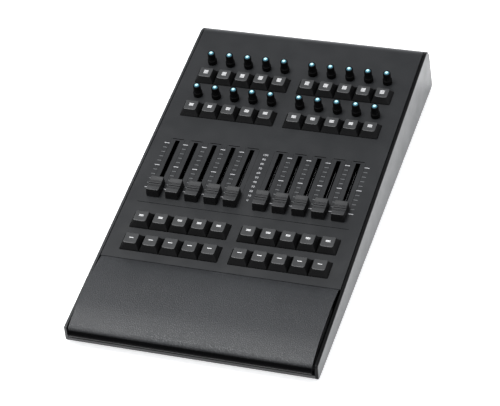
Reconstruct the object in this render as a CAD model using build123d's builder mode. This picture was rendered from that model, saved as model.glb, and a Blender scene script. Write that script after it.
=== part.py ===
"""Ten-fader lighting control desk: wedge-shaped chassis, sloping control panel, palm rest.

Frame: +X right, +Y towards the rear, +Z up, origin on the table under the middle of the desk.
Most pieces are laid out on the sloping deck, in (u, v, h): u across, v up the slope from the
fader's zero mark, h out of the panel's top face.
"""

from math import atan2, cos, radians, sin, tan
import os

from build123d import *

# ---------------------------------------------------------------- driving dimensions (mm)
TILT = 5.2                      # slope of the control panel
DECK_Y = -29.9                  # place of the deck's origin, the fader's zero mark
FOOT_HEIGHT = 3.0
DECK_HEIGHT = 33.0              # deck origin above the underside of the chassis
HALF_WIDTH = 116.4

WALL = 2.8                      # moulded side wall
WALL_EDGE = 1.4                 # rounding of the wall's outer edges
SHEET = 1.5                     # folded sheet of the base and the rear panel
PANEL = 2.0                     # control panel
PANEL_HALF_WIDTH = 112.7
REAR_LEAN = 10.0                # the rear face leans forward
FRONT_Y = -179.0                # front face, from the deck's origin
REAR_Y = 242.3                  # rear face at the underside, from the deck's origin
REAR_RADIUS = 14.0              # rear top edge
HEEL_RADIUS = 4.0               # rear bottom edge
TOE_RADIUS = 3.5                # front bottom edge
BROW_RADIUS = 2.2               # front top corner of the side walls
FRONT_WALL = 5.4                # height of the base's front wall, under the palm rest

COLUMNS = 10
COLUMN_PITCH = 18.7
BANK_GAP = 9.7                  # extra space between the two banks of five columns
ENCODER_ROWS = (176.4, 129.1)   # v of each row
KEY_ROWS = (155.7, 108.3, -42.4, -70.6)

PANEL_FRONT = -90.3             # v of the joint between the panel and the palm rest
PANEL_FLANGE = 16.5             # the panel folds down over the rear edge
FADER_LINE = -19.0              # engraved line under the faders
FADER_LINE_HALF = 101.6

FADER_REST = -1.6               # v of the cap's centre line at its bottom stop
FADER_TRAVEL = 62.0
SLOT_WIDTH = 3.0
SLOT_LENGTH = 68.5
SLOT_CENTRE = 29.5

CAP_BASE = (12.8, 20.0)
CAP_TOP = (12.0, 17.8)
CAP_LOW = 0.6
CAP_HIGH = 8.8
CAP_WALL = 1.4
LEVER = (1.2, 5.0)
CARRIAGE = (7.0, 10.0, 5.0)
CARRIAGE_H = -8.6
TRACK = (10.0, 94.0)
TRACK_TOP = -4.4
RAIL_RADIUS = 1.0
RAIL_SPACING = 4.4
RAIL_PLAY = 0.05

KEY_BASE = (18.3, 19.0)
KEY_TOP = (11.8, 12.0)
KEY_HIGH = 6.4
KEY_SKIRT = -3.0
KEY_TRAVEL = 1.5
KEY_PLAY = 0.35                 # between a key and its cut-out
STEM_RADIUS = 1.9
SWITCH = 13.0
SWITCH_TOP = -6.5

SKIRT_RADIUS = 4.55
STALK_RADIUS = 3.7
KNOB_HIGH = 13.0
TIP_RADIUS = 2.7
TIP_HIGH = 14.0
TIP_DOME = 1.4                  # height of the tip's domed end
SHAFT_RADIUS = 3.0
SHAFT_PLAY = 0.05
BUSHING_RADIUS = 3.5

BOARD = 1.6
BOARD_TOP = -14.4
BOARD_HALF_WIDTH = 106.0
UPPER_BOARD = (94.0, 194.0)     # v of its front and rear edges
LOWER_BOARD = (-86.0, 90.0)
SCREW_RADIUS = 1.5
STANDOFF_WIDTH = 5.0

LEDGE = (5.4, 298.0, 3.0)       # the walls' ledge under the panel: across, along v, thick
LEDGE_V = 64.0
FOOTING = (6.4, 352.0, 5.0)     # the walls' ledge on the base: across, along Y, high
FOOTING_Y = 2.0
LEDGE_ROOT = 0.2                # both start this far inside the wall

PALM_HALF_WIDTH = 111.6
PALM_SKIN = 3.0                 # thickness of the moulding
PALM_OUTLINE = (                # v and h of its outer face, from the panel down to the front lip
    (PANEL_FRONT - 0.6, 0.0),
    (-112.0, 3.7),
    (-137.0, 4.8),
    (-158.0, 4.1),
    (-172.0, 1.9),
    (-181.0, -1.2),
    (-183.4, -4.8),
    (-182.0, -8.0),
    (-177.6, -11.2),
)
PALM_TONGUE = (-94.0, -83.4, 1.5)  # lip under the panel: v of its ends, thickness
PALM_TONGUE_HALF = 106.7
PALM_BOSS_RADIUS = 4.0
END_PLUG = 3.0                  # thickness of the plugs in the palm rest's open ends
END_INSET = 0.3
END_FLOOR = -11.2               # h of the plugs' lower edge
END_FRONT = -172.0

MAIN_BOARD_Y = (144.0, 218.0)   # from the deck's origin
MAIN_BOARD_WIDTH = 164.0
MAIN_BOARD_LIFT = 6.0
SOCKET_RISE = 20.0              # up the rear panel from the underside
SOCKET_PROUD = 0.3              # the sockets stand out of the rear panel
NETWORK_X = 44.0
NETWORK = (16.0, 13.6, 20.0)    # shell: across, up, deep
NETWORK_MOUTH = (11.8, 8.4, 14.0)
USB_X = 12.0
USB = (12.2, 11.2, 16.0)
USB_MOUTH = (8.6, 7.9, 9.0)
USB_TONGUE = (5.6, 3.2)
INLET_X = -20.0
INLET = (11.0, 11.6, 13.0)
INLET_RADIUS = 5.0
INLET_BORE = 3.2
INLET_PIN = 1.0

CABLE = (26.0, 0.9)             # ribbon cable: width and thickness
CABLE_BEND = 2.0
CABLE_X = (-34.0, 34.0)         # to the upper board, to the lower board
CABLE_FROM = (150.0, 122.0)     # Y of the headers on the main board
CABLE_TO = (150.0, 72.0)        # v of the headers under the other boards
CABLE_HIGH = 24.0               # height of the bend above the main board
CABLE_LOW = 9.5                 # height of the long run over the floor
CABLE_STEP = (20.0, 6.0)        # level and sloping lengths on the way down to it
HEADER = (30.0, 6.0, 4.6)

SCREW_HEAD = 2.8                # pan head of the board screws
SCREW_HEAD_HIGH = 1.8
CASE_HEAD = 2.85                # countersunk head of the case screws
CASE_LENGTH = 5.6
HEX_RADIUS = 0.9                # drive recess of both
HEX_DEPTH = 0.8
FOOT_RADIUS = 9.0
FOOT_STEM = 3.0
FOOT_BARB = 4.0

# ---------------------------------------------------------------- planes and places
SIN, COS = sin(radians(TILT)), cos(radians(TILT))
UNDERSIDE = FOOT_HEIGHT
FLOOR_TOP = UNDERSIDE + SHEET
deck = Plane(
    origin=(0, DECK_Y, FOOT_HEIGHT + DECK_HEIGHT), x_dir=(1, 0, 0), z_dir=(0, -SIN, COS)
)


def yz(v, h):
    """Y and Z of a point of the deck."""
    return (DECK_Y + v * COS - h * SIN, FOOT_HEIGHT + DECK_HEIGHT + v * SIN + h * COS)


def side_plane(x):
    """Upright plane across X, whose local axes are Y and Z."""
    return Plane(origin=(x, 0, 0), x_dir=(0, 1, 0), z_dir=(1, 0, 0))


def on_deck(u, v, h=0.0):
    """Place of a sub-part that is modelled upright at the origin."""
    return deck.location * Location((u, v, h))


def column(i):
    """u of column i, counted from 0 at the left."""
    bank = -1 if i < COLUMNS // 2 else 1
    return (i - (COLUMNS - 1) / 2) * COLUMN_PITCH + bank * BANK_GAP / 2


def rear_point(rise, depth=0.0):
    """Y and Z of a point up the rear face, at a depth inside it."""
    lean = radians(REAR_LEAN)
    y = DECK_Y + REAR_Y - rise * sin(lean) - depth * cos(lean)
    return (y, UNDERSIDE + rise * cos(lean) - depth * sin(lean))


def rear_plane(x, rise):
    """Plane on the rear face, local z outwards and local y up the face."""
    lean = radians(REAR_LEAN)
    y, z = rear_point(rise)
    return Plane(origin=(x, y, z), x_dir=(-1, 0, 0), z_dir=(0, cos(lean), sin(lean)))


def rear_top(depth=0.0):
    """Rise at which the rear face, at a depth inside it, meets the deck at the same depth."""
    lean = radians(REAR_LEAN)
    y, z = rear_point(0, depth)
    deck_y, deck_z = yz(0, -depth)
    gap = (deck_z - z) + (y - deck_y) * tan(radians(TILT))
    return gap / (cos(lean) + sin(lean) * tan(radians(TILT)))


columns = [column(i) for i in range(COLUMNS)]
left_bank = columns[: COLUMNS // 2]
right_bank = columns[COLUMNS // 2:]
encoder_places = [(u, v) for v in ENCODER_ROWS for u in columns]
key_places = [(u, v) for v in KEY_ROWS for u in columns]
standoff_places = [(u, v) for v in (188.0, 98.0, 84.0, -76.0) for u in (-102.0, 0.0, 102.0)]
standoff_places += [(0.0, 142.0), (0.0, -30.0)]
foot_places = [(x, y) for x in (-96.0, 96.0) for y in (-165.0, 180.0)]
ledge_screws = [(x, y) for x in (-110.4, 110.4) for y in (-165.0, -60.0, 50.0, 150.0)]
lip_screws = [(x, DECK_Y + REAR_Y - 14.0) for x in (-90.0, -30.0, 30.0, 90.0)]
palm_screws = [(x, DECK_Y - 130.0) for x in (-70.0, 0.0, 70.0)]
case_screw_places = ledge_screws + lip_screws + palm_screws

os.makedirs("parts", exist_ok=True)

# ---------------------------------------------------------------- base pan
front_y = DECK_Y + FRONT_Y + 0.4
with BuildPart() as base_pan:
    with BuildSketch(side_plane(-HALF_WIDTH + WALL + 0.1)):
        with BuildLine():
            FilletPolyline(
                (DECK_Y + REAR_Y - 5.0, UNDERSIDE + SHEET / 2),
                (front_y + SHEET / 2, UNDERSIDE + SHEET / 2),
                (front_y + SHEET / 2, UNDERSIDE + FRONT_WALL),
                radius=TOE_RADIUS - SHEET / 2,
            )
        trace(line_width=SHEET)
    extrude(amount=2 * (HALF_WIDTH - WALL - 0.1))
    with BuildSketch(Plane.XY.offset(UNDERSIDE)):
        with Locations(*foot_places):
            Circle(FOOT_STEM + 0.05)
        for x in (-55.0, 55.0):
            with Locations((x, 60.0)):
                with GridLocations(7.0, 40.0, 8, 2):
                    SlotOverall(30.0, 2.5, rotation=90)
    extrude(amount=SHEET, mode=Mode.SUBTRACT)
    with Locations(Plane.XY.offset(UNDERSIDE)):
        with Locations(*[Location((x, y, 0), (180, 0, 0)) for x, y in case_screw_places]):
            CounterSinkHole(SCREW_RADIUS + 0.1, 3.0, depth=SHEET)
base_pan.part.label = "base_pan"
export_step(base_pan.part, "parts/base_pan.step")

# ---------------------------------------------------------------- side walls
with BuildPart() as side_wall_right:
    with BuildSketch(side_plane(HALF_WIDTH - WALL)):
        with BuildLine():
            FilletPolyline(
                yz(FRONT_Y, 0),
                rear_point(rear_top()),
                rear_point(0),
                (DECK_Y + FRONT_Y, UNDERSIDE),
                radius=(BROW_RADIUS, REAR_RADIUS, HEEL_RADIUS, TOE_RADIUS),
                close=True,
            )
        make_face()
    extrude(amount=WALL)
    outer = side_wall_right.faces().sort_by(Axis.X)[-1]
    fillet(outer.edges(), radius=WALL_EDGE)
    with BuildSketch(deck.offset(-PANEL)):
        with Locations((HALF_WIDTH - WALL + LEDGE_ROOT - LEDGE[0] / 2, LEDGE_V)):
            Rectangle(LEDGE[0], LEDGE[1])
    extrude(amount=-LEDGE[2])
    with BuildSketch(Plane.XY.offset(FLOOR_TOP)):
        with Locations((HALF_WIDTH - WALL + LEDGE_ROOT - FOOTING[0] / 2, FOOTING_Y)):
            Rectangle(FOOTING[0], FOOTING[1])
    extrude(amount=FOOTING[2])
    with BuildSketch(Plane.XY.offset(FLOOR_TOP)):
        with Locations(*[(x, y) for x, y in ledge_screws if x > 0]):
            Circle(SCREW_RADIUS + 0.02)
    extrude(amount=CASE_LENGTH - SHEET + 0.1, mode=Mode.SUBTRACT)
side_wall_right.part.label = "side_wall_right"
export_step(side_wall_right.part, "parts/side_wall_right.step")

with BuildPart() as side_wall_left:
    mirror(side_wall_right.part, about=Plane.YZ)
side_wall_left.part.label = "side_wall_left"
export_step(side_wall_left.part, "parts/side_wall_left.step")

# ---------------------------------------------------------------- control panel
fold_rise = rear_top(PANEL / 2) - PANEL_FLANGE
with BuildPart() as control_panel:
    with BuildSketch(side_plane(-PANEL_HALF_WIDTH)):
        with BuildLine():
            FilletPolyline(
                yz(PANEL_FRONT, -PANEL / 2),
                rear_point(rear_top(PANEL / 2), PANEL / 2),
                rear_point(fold_rise, PANEL / 2),
                radius=REAR_RADIUS - PANEL / 2,
            )
        trace(line_width=PANEL)
    extrude(amount=2 * PANEL_HALF_WIDTH)
    with BuildSketch(deck):
        with Locations(*encoder_places):
            Circle(BUSHING_RADIUS + 0.3)
        with Locations(*[(u, SLOT_CENTRE) for u in columns]):
            RectangleRounded(SLOT_WIDTH, SLOT_LENGTH, 0.6)
        for v in KEY_ROWS:
            for bank in (left_bank, right_bank):
                with Locations((sum(bank) / len(bank), v)):
                    bank_width = bank[-1] - bank[0] + KEY_BASE[0]
                    RectangleRounded(bank_width + 2 * KEY_PLAY, KEY_BASE[1] + 2 * KEY_PLAY, 1.2)
    extrude(amount=-PANEL, mode=Mode.SUBTRACT)
    with BuildSketch(deck):
        with Locations((0, FADER_LINE)):
            Rectangle(2 * FADER_LINE_HALF, 0.5)
    extrude(amount=-0.3, mode=Mode.SUBTRACT)
control_panel.part.label = "control_panel"
export_step(control_panel.part, "parts/control_panel.step")

# ---------------------------------------------------------------- rear panel
lip_rise = SHEET * (1.5 + sin(radians(REAR_LEAN)) / 2) / cos(radians(REAR_LEAN))
with BuildPart() as rear_panel:
    with BuildSketch(side_plane(-HALF_WIDTH + WALL + 0.1)):
        with BuildLine():
            FilletPolyline(
                rear_point(fold_rise - 0.4, SHEET / 2),
                rear_point(lip_rise, SHEET / 2),
                (DECK_Y + REAR_Y - 22.0, FLOOR_TOP + SHEET / 2),
                radius=HEEL_RADIUS - SHEET / 2,
            )
        trace(line_width=SHEET)
    extrude(amount=2 * (HALF_WIDTH - WALL - 0.1))
    with BuildSketch(rear_plane(NETWORK_X, SOCKET_RISE)):
        RectangleRounded(16.4, 14.0, 0.4)
    extrude(amount=-SHEET - 0.5, mode=Mode.SUBTRACT)
    with BuildSketch(rear_plane(USB_X, SOCKET_RISE)):
        RectangleRounded(12.6, 11.6, 0.4)
    extrude(amount=-SHEET - 0.5, mode=Mode.SUBTRACT)
    with BuildSketch(rear_plane(INLET_X, SOCKET_RISE)):
        Circle(5.3)
    extrude(amount=-SHEET - 0.5, mode=Mode.SUBTRACT)
    with BuildSketch(Plane.XY.offset(FLOOR_TOP)):
        with Locations(*lip_screws):
            Circle(SCREW_RADIUS + 0.02)
    extrude(amount=SHEET, mode=Mode.SUBTRACT)
rear_panel.part.label = "rear_panel"
export_step(rear_panel.part, "parts/rear_panel.step")

# ---------------------------------------------------------------- palm rest
def palm_points(depth, start=0):
    """Points of the palm rest's section, at a depth under its outer face."""
    points = []
    for i in range(start, len(PALM_OUTLINE)):
        v, h = PALM_OUTLINE[i]
        last_v, last_h = PALM_OUTLINE[max(i - 1, 0)]
        next_v, next_h = PALM_OUTLINE[min(i + 1, len(PALM_OUTLINE) - 1)]
        heading = atan2(next_h - last_h, next_v - last_v)
        points.append(yz(v - depth * sin(heading), h + depth * cos(heading)))
    return points


tongue_front, tongue_rear, tongue_thick = PALM_TONGUE
tongue_top = -PANEL - 0.2
with BuildPart() as palm_rest:
    with BuildSketch(side_plane(-PALM_HALF_WIDTH)):
        with BuildLine():
            outside = Spline(*palm_points(0))
            inside = Spline(*palm_points(PALM_SKIN))
            Line(outside @ 0, inside @ 0)
            Line(inside @ 1, outside @ 1)
        make_face()
    extrude(amount=2 * PALM_HALF_WIDTH)
    with BuildSketch(side_plane(-PALM_TONGUE_HALF)):
        with BuildLine():
            Polyline(
                yz(tongue_front, tongue_top + 0.2),
                yz(PALM_OUTLINE[0][0], tongue_top + 0.2),
                yz(PALM_OUTLINE[0][0], tongue_top),
                yz(tongue_rear, tongue_top),
                yz(tongue_rear, tongue_top - tongue_thick),
                yz(tongue_front, tongue_top - tongue_thick),
                close=True,
            )
        make_face()
    extrude(amount=2 * PALM_TONGUE_HALF)
    with BuildSketch(Plane.XY.offset(FLOOR_TOP)):
        with Locations(*palm_screws):
            Circle(PALM_BOSS_RADIUS)
    extrude(until=Until.NEXT)
    with BuildSketch(Plane.XY.offset(FLOOR_TOP)):
        with Locations(*palm_screws):
            Circle(SCREW_RADIUS + 0.02)
    extrude(amount=CASE_LENGTH, mode=Mode.SUBTRACT)
palm_rest.part.label = "palm_rest"
export_step(palm_rest.part, "parts/palm_rest.step")

with BuildPart() as palm_rest_ends:
    with BuildSketch(side_plane(PALM_HALF_WIDTH - END_INSET - END_PLUG)):
        with BuildLine():
            edge = Spline(*palm_points(PALM_SKIN + 0.05, start=1))
            Polyline(
                edge @ 1,
                yz(END_FRONT, END_FLOOR),
                yz(PALM_OUTLINE[1][0], END_FLOOR),
                edge @ 0,
            )
        make_face()
    extrude(amount=END_PLUG)
    mirror(about=Plane.YZ)
palm_rest_ends.part.label = "palm_rest_ends"
export_step(palm_rest_ends.part, "parts/palm_rest_ends.step")

# ---------------------------------------------------------------- fader tracks and rails
track_depth = TRACK_TOP - BOARD_TOP
with BuildPart() as fader_tracks:
    with BuildSketch(deck.offset(TRACK_TOP)):
        with Locations(*[(u, SLOT_CENTRE) for u in columns]):
            Rectangle(*TRACK)
    extrude(amount=-track_depth)
    with BuildSketch(deck.offset(TRACK_TOP - 1.0)):
        with Locations(*[(u, SLOT_CENTRE) for u in columns]):
            Rectangle(TRACK[0] - 1.6, TRACK[1] - 4.0)
    extrude(amount=-track_depth + 2.0, mode=Mode.SUBTRACT)
    with BuildSketch(deck.offset(TRACK_TOP)):
        with Locations(*[(u, SLOT_CENTRE) for u in columns]):
            Rectangle(SLOT_WIDTH, SLOT_LENGTH)
    extrude(amount=-2.0, mode=Mode.SUBTRACT)
    rail_ends = Plane(
        origin=deck.from_local_coords((0, SLOT_CENTRE - TRACK[1] / 2, CARRIAGE_H)),
        x_dir=(1, 0, 0),
        z_dir=deck.y_dir,
    )
    with BuildSketch(rail_ends):
        with Locations(*[(u, 0) for u in columns]):
            with GridLocations(RAIL_SPACING, 1, 2, 1):
                Circle(RAIL_RADIUS + 0.02)
    extrude(amount=TRACK[1], mode=Mode.SUBTRACT)
fader_tracks.part.label = "fader_tracks"
export_step(fader_tracks.part, "parts/fader_tracks.step")

with BuildPart() as fader_rails:
    with BuildSketch(rail_ends):
        with Locations(*[(u, 0) for u in columns]):
            with GridLocations(RAIL_SPACING, 1, 2, 1):
                Circle(RAIL_RADIUS)
    extrude(amount=TRACK[1])
fader_rails.part.label = "fader_rails"
export_step(fader_rails.part, "parts/fader_rails.step")

# ---------------------------------------------------------------- faders: cap, lever and carriage
ceiling = 5.0
dish_radius = 36.0
dish_depth = 1.1
with BuildPart() as fader_cap:
    with BuildSketch(Plane.XY.offset(CAP_LOW)):
        RectangleRounded(*CAP_BASE, 0.9)
    with BuildSketch(Plane.XY.offset(CAP_HIGH)):
        RectangleRounded(*CAP_TOP, 0.9)
    loft()
    with Locations((0, 0, CAP_HIGH - dish_depth + dish_radius)):
        Cylinder(dish_radius, 20.0, rotation=(0, 90, 0), mode=Mode.SUBTRACT)
    with Locations((0, 0, CAP_HIGH - dish_depth)):
        Box(20.0, 0.8, 1.0, mode=Mode.SUBTRACT)
        with Locations((0, -1.7, 0), (0, 1.7, 0)):
            Box(20.0, 0.5, 0.6, mode=Mode.SUBTRACT)
    with BuildSketch(Plane.XY.offset(CAP_LOW)):
        RectangleRounded(CAP_BASE[0] - 2 * CAP_WALL, CAP_BASE[1] - 2 * CAP_WALL, 0.6)
    with BuildSketch(Plane.XY.offset(ceiling)):
        RectangleRounded(CAP_TOP[0] - 2 * CAP_WALL, CAP_TOP[1] - 2 * CAP_WALL, 0.6)
    loft(mode=Mode.SUBTRACT)
    with BuildSketch(Plane.XY.offset(CAP_LOW)):
        Rectangle(LEVER[0] + 2.4, LEVER[1] + 2.4)
    extrude(amount=ceiling - CAP_LOW)
    with BuildSketch(Plane.XY.offset(CAP_LOW)):
        Rectangle(LEVER[0] + 0.04, LEVER[1] + 0.04)
    extrude(amount=ceiling - CAP_LOW, mode=Mode.SUBTRACT)

with BuildPart() as fader_lever:
    with BuildSketch(Plane.XY.offset(CARRIAGE_H)):
        Rectangle(*LEVER)
    extrude(amount=ceiling - 0.05 - CARRIAGE_H)
    with Locations((0, 0, CARRIAGE_H)):
        Box(*CARRIAGE)
    with BuildSketch(Plane.XZ.offset(-CARRIAGE[1] / 2)):
        with Locations((0, CARRIAGE_H)):
            with GridLocations(RAIL_SPACING, 1, 2, 1):
                Circle(RAIL_RADIUS + RAIL_PLAY)
    extrude(amount=CARRIAGE[1], mode=Mode.SUBTRACT)

for i, u in enumerate(columns, start=1):
    with BuildPart() as fader:
        with Locations(on_deck(u, FADER_REST)):
            add(fader_cap.part)
            add(fader_lever.part)
    fader.part.label = f"fader_{i:02d}"
    export_step(fader.part, f"parts/fader_{i:02d}.step")

# ---------------------------------------------------------------- rotary encoders
with BuildPart() as encoder_bodies:
    with BuildSketch(deck.offset(BOARD_TOP)):
        with Locations(*encoder_places):
            Rectangle(12.4, 13.2)
    extrude(amount=6.8)
    with BuildSketch(deck.offset(BOARD_TOP + 6.8)):
        with Locations(*encoder_places):
            Circle(BUSHING_RADIUS)
    extrude(amount=-BOARD_TOP - 6.8 - 0.3)
    with BuildSketch(deck):
        with Locations(*encoder_places):
            Circle(SHAFT_RADIUS + SHAFT_PLAY)
    extrude(amount=BOARD_TOP + 1.0, mode=Mode.SUBTRACT)
encoder_bodies.part.label = "encoder_bodies"
export_step(encoder_bodies.part, "parts/encoder_bodies.step")

bore_top = 9.0
with BuildPart() as encoder_knob:
    with BuildSketch(Plane.XZ):
        with BuildLine():
            Polyline(
                (SHAFT_RADIUS + 0.02, 0.4),
                (SKIRT_RADIUS - 0.3, 0.4),
                (SKIRT_RADIUS, 0.7),
                (SKIRT_RADIUS, 4.5),
                (SKIRT_RADIUS - 0.3, 4.8),
                (STALK_RADIUS, 4.8),
                (STALK_RADIUS, KNOB_HIGH - 0.5),
                (STALK_RADIUS - 0.5, KNOB_HIGH),
                (TIP_RADIUS + 0.02, KNOB_HIGH),
                (TIP_RADIUS + 0.02, bore_top + 0.6),
                (0, bore_top + 0.6),
                (0, bore_top),
                (SHAFT_RADIUS + 0.02, bore_top),
                close=True,
            )
        make_face()
    revolve(axis=Axis.Z)

with BuildPart() as encoder_shaft:
    with BuildSketch(Plane.XY.offset(BOARD_TOP + 2.0)):
        Circle(SHAFT_RADIUS)
    extrude(amount=bore_top - 0.1 - BOARD_TOP - 2.0)
    chamfer(encoder_shaft.edges(), length=0.3)

dome_radius = (TIP_RADIUS**2 + TIP_DOME**2) / (2 * TIP_DOME)
with BuildPart() as encoder_tip:
    with BuildSketch(Plane.XY.offset(bore_top + 0.7)):
        Circle(TIP_RADIUS)
    extrude(amount=TIP_HIGH - bore_top - 0.7)
    with Locations((0, 0, TIP_HIGH - dome_radius)):
        Sphere(dome_radius, mode=Mode.INTERSECT)

for row, v in zip(("rear", "front"), ENCODER_ROWS):
    for i, u in enumerate(columns, start=1):
        with BuildPart() as encoder:
            with Locations(on_deck(u, v)):
                add(encoder_knob.part)
                add(encoder_shaft.part)
                add(encoder_tip.part)
        encoder.part.label = f"encoder_{row}_{i:02d}"
        export_step(encoder.part, f"parts/encoder_{row}_{i:02d}.step")

# ---------------------------------------------------------------- keys and their switches
with BuildPart() as key_switches:
    with BuildSketch(deck.offset(BOARD_TOP)):
        with Locations(*key_places):
            RectangleRounded(SWITCH, SWITCH, 0.8)
    extrude(amount=SWITCH_TOP - BOARD_TOP)
    with BuildSketch(deck.offset(SWITCH_TOP)):
        with Locations(*key_places):
            Circle(STEM_RADIUS + 0.05)
    extrude(amount=-6.4, mode=Mode.SUBTRACT)
key_switches.part.label = "key_switches"
export_step(key_switches.part, "parts/key_switches.step")

key_wall = 1.2
key_ceiling = 4.2
key_dish = 17.0
with BuildPart() as key_cap:
    with BuildSketch():
        RectangleRounded(*KEY_BASE, 1.0)
    extrude(amount=KEY_SKIRT)
    with BuildSketch():
        RectangleRounded(*KEY_BASE, 1.0)
    with BuildSketch(Plane.XY.offset(KEY_HIGH)):
        with Locations((0, 0.3)):
            RectangleRounded(*KEY_TOP, 2.0)
    loft()
    with Locations((0, 0, KEY_HIGH - 0.5 + key_dish)):
        Cylinder(key_dish, 24.0, rotation=(90, 0, 0), mode=Mode.SUBTRACT)
    with BuildSketch(Plane.XY.offset(KEY_SKIRT)):
        RectangleRounded(KEY_BASE[0] - 2 * key_wall, KEY_BASE[1] - 2 * key_wall, 0.5)
    extrude(amount=-KEY_SKIRT, mode=Mode.SUBTRACT)
    with BuildSketch():
        RectangleRounded(KEY_BASE[0] - 2 * key_wall, KEY_BASE[1] - 2 * key_wall, 0.5)
    with BuildSketch(Plane.XY.offset(key_ceiling)):
        RectangleRounded(KEY_TOP[0] - 0.8, KEY_TOP[1] - 0.8, 0.5)
    loft(mode=Mode.SUBTRACT)
    with BuildSketch(Plane.XY.offset(key_ceiling + 0.1)):
        Circle(STEM_RADIUS)
    extrude(amount=-key_ceiling - 0.1 + SWITCH_TOP - 3.5)

for row, v in enumerate(KEY_ROWS, start=1):
    for side, bank in (("left", left_bank), ("right", right_bank)):
        with BuildPart() as key_bank:
            with Locations(*[on_deck(u, v) for u in bank]):
                add(key_cap.part)
        key_bank.part.label = f"key_bank_{row}_{side}"
        export_step(key_bank.part, f"parts/key_bank_{row}_{side}.step")

# ---------------------------------------------------------------- circuit boards
for name, (front, rear) in (("upper_board", UPPER_BOARD), ("lower_board", LOWER_BOARD)):
    with BuildPart() as board:
        with BuildSketch(deck.offset(BOARD_TOP)):
            with Locations((0, (front + rear) / 2)):
                RectangleRounded(2 * BOARD_HALF_WIDTH, rear - front, 2.0)
            with Locations(*[(u, v) for u, v in standoff_places if front < v < rear]):
                Circle(SCREW_RADIUS + 0.2, mode=Mode.SUBTRACT)
        extrude(amount=-BOARD)
    board.part.label = name
    export_step(board.part, f"parts/{name}.step")

main_board_z = FLOOR_TOP + MAIN_BOARD_LIFT
main_front, main_rear = (DECK_Y + y for y in MAIN_BOARD_Y)
main_corners = [(x, y) for x in (-76.0, 76.0) for y in (main_front + 5.0, main_rear - 12.0)]
with BuildPart() as main_board:
    with BuildSketch(Plane.XY.offset(main_board_z)):
        with Locations((0, (main_front + main_rear) / 2)):
            RectangleRounded(MAIN_BOARD_WIDTH, main_rear - main_front, 2.0)
        with Locations(*main_corners):
            Circle(SCREW_RADIUS + 0.2, mode=Mode.SUBTRACT)
    extrude(amount=BOARD)
main_board.part.label = "main_board"
export_step(main_board.part, "parts/main_board.step")

# ---------------------------------------------------------------- standoffs and board screws
with BuildPart() as standoffs:
    with BuildSketch(deck.offset(BOARD_TOP)):
        with Locations(*standoff_places):
            RegularPolygon(STANDOFF_WIDTH / 2, 6, major_radius=False)
            Circle(SCREW_RADIUS + 0.02, mode=Mode.SUBTRACT)
    extrude(amount=-PANEL - BOARD_TOP)
    with BuildSketch(Plane.XY.offset(FLOOR_TOP)):
        with Locations(*main_corners):
            RegularPolygon(STANDOFF_WIDTH / 2, 6, major_radius=False)
            Circle(SCREW_RADIUS + 0.02, mode=Mode.SUBTRACT)
    extrude(amount=MAIN_BOARD_LIFT)
standoffs.part.label = "standoffs"
export_step(standoffs.part, "parts/standoffs.step")

with BuildPart() as board_screw:
    Cylinder(SCREW_HEAD, SCREW_HEAD_HIGH, align=(Align.CENTER, Align.CENTER, Align.MAX))
    Cylinder(SCREW_RADIUS, BOARD + 4.0, align=(Align.CENTER, Align.CENTER, Align.MIN))
    with Locations((0, 0, -SCREW_HEAD_HIGH)):
        Cylinder(
            HEX_RADIUS,
            HEX_DEPTH,
            align=(Align.CENTER, Align.CENTER, Align.MIN),
            mode=Mode.SUBTRACT,
        )
with BuildPart() as board_screws:
    with Locations(*[on_deck(u, v, BOARD_TOP - BOARD) for u, v in standoff_places]):
        add(board_screw.part)
    with Locations(*[Location((x, y, main_board_z + BOARD), (180, 0, 0)) for x, y in main_corners]):
        add(board_screw.part)
board_screws.part.label = "board_screws"
export_step(board_screws.part, "parts/board_screws.step")

# ---------------------------------------------------------------- rear sockets
with BuildPart() as network_socket:
    with BuildSketch(rear_plane(NETWORK_X, SOCKET_RISE).offset(SOCKET_PROUD)):
        RectangleRounded(NETWORK[0], NETWORK[1], 0.3)
    extrude(amount=-NETWORK[2])
    with BuildSketch(rear_plane(NETWORK_X, SOCKET_RISE).offset(SOCKET_PROUD)):
        with Locations((0, 0.6)):
            Rectangle(NETWORK_MOUTH[0], NETWORK_MOUTH[1])
        with Locations((0, -4.4)):
            Rectangle(6.2, 2.2)
        with Locations((0, -5.4)):
            Rectangle(3.2, 1.6)
    extrude(amount=-NETWORK_MOUTH[2], mode=Mode.SUBTRACT)
network_socket.part.label = "network_socket"
export_step(network_socket.part, "parts/network_socket.step")

with BuildPart() as usb_socket:
    with BuildSketch(rear_plane(USB_X, SOCKET_RISE).offset(SOCKET_PROUD)):
        RectangleRounded(USB[0], USB[1], 0.3)
    extrude(amount=-USB[2])
    with BuildSketch(rear_plane(USB_X, SOCKET_RISE).offset(SOCKET_PROUD)) as usb_mouth:
        Rectangle(USB_MOUTH[0], USB_MOUTH[1])
        chamfer(usb_mouth.vertices().group_by(Axis.Y)[-1], length=1.6)
        Rectangle(*USB_TONGUE, mode=Mode.SUBTRACT)
    extrude(amount=-USB_MOUTH[2], mode=Mode.SUBTRACT)
usb_socket.part.label = "usb_socket"
export_step(usb_socket.part, "parts/usb_socket.step")

inlet_step = SHEET + 0.2        # its body stays behind the rear panel
with BuildPart() as power_inlet:
    with BuildSketch(rear_plane(INLET_X, SOCKET_RISE).offset(-inlet_step)):
        Rectangle(INLET[0], INLET[1])
    extrude(amount=-INLET[2])
    with BuildSketch(rear_plane(INLET_X, SOCKET_RISE).offset(-inlet_step)):
        Circle(INLET_RADIUS)
    extrude(amount=inlet_step + SOCKET_PROUD + 0.1)
    with BuildSketch(rear_plane(INLET_X, SOCKET_RISE).offset(SOCKET_PROUD + 0.1)):
        Circle(INLET_BORE)
        Circle(INLET_PIN, mode=Mode.SUBTRACT)
    extrude(amount=-10.5, mode=Mode.SUBTRACT)
power_inlet.part.label = "power_inlet"
export_step(power_inlet.part, "parts/power_inlet.step")

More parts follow.
